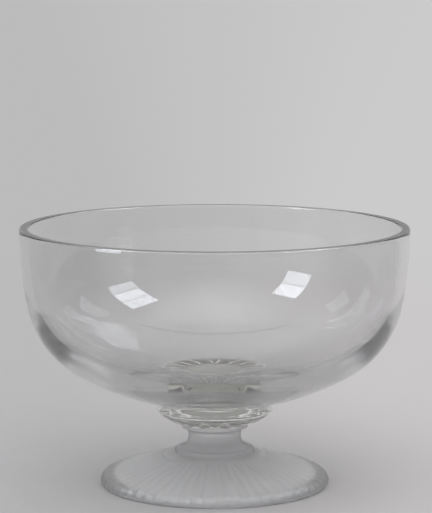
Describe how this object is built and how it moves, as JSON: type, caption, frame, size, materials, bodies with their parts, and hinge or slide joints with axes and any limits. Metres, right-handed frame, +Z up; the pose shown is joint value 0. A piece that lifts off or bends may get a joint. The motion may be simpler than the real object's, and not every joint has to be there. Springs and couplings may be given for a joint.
{
  "type": "trifle bowl",
  "caption": "Footed glass trifle bowl: a deep clear bowl with a ground rim on a clear fluted collar and a satin stemmed foot with radial flutes.",
  "frame": {"origin": "on the table under the middle of the foot", "axes": "+Z up along the axis of the bowl, +X and +Y across the rim; the bowl is round, so any side can face forwards"},
  "size_m": [0.22, 0.22, 0.1474],
  "materials": {
    "clear_glass": "fire polished, clear",
    "satin_glass": "acid etched satin",
    "clear_adhesive": "clear cured adhesive"
  },
  "bodies": {
    "root": {"bowl": "clear_glass", "bowl_bond": "clear_adhesive", "fluted_collar": "clear_glass", "stem_bond": "clear_adhesive", "foot": "satin_glass"}
  },
  "joints": []
}
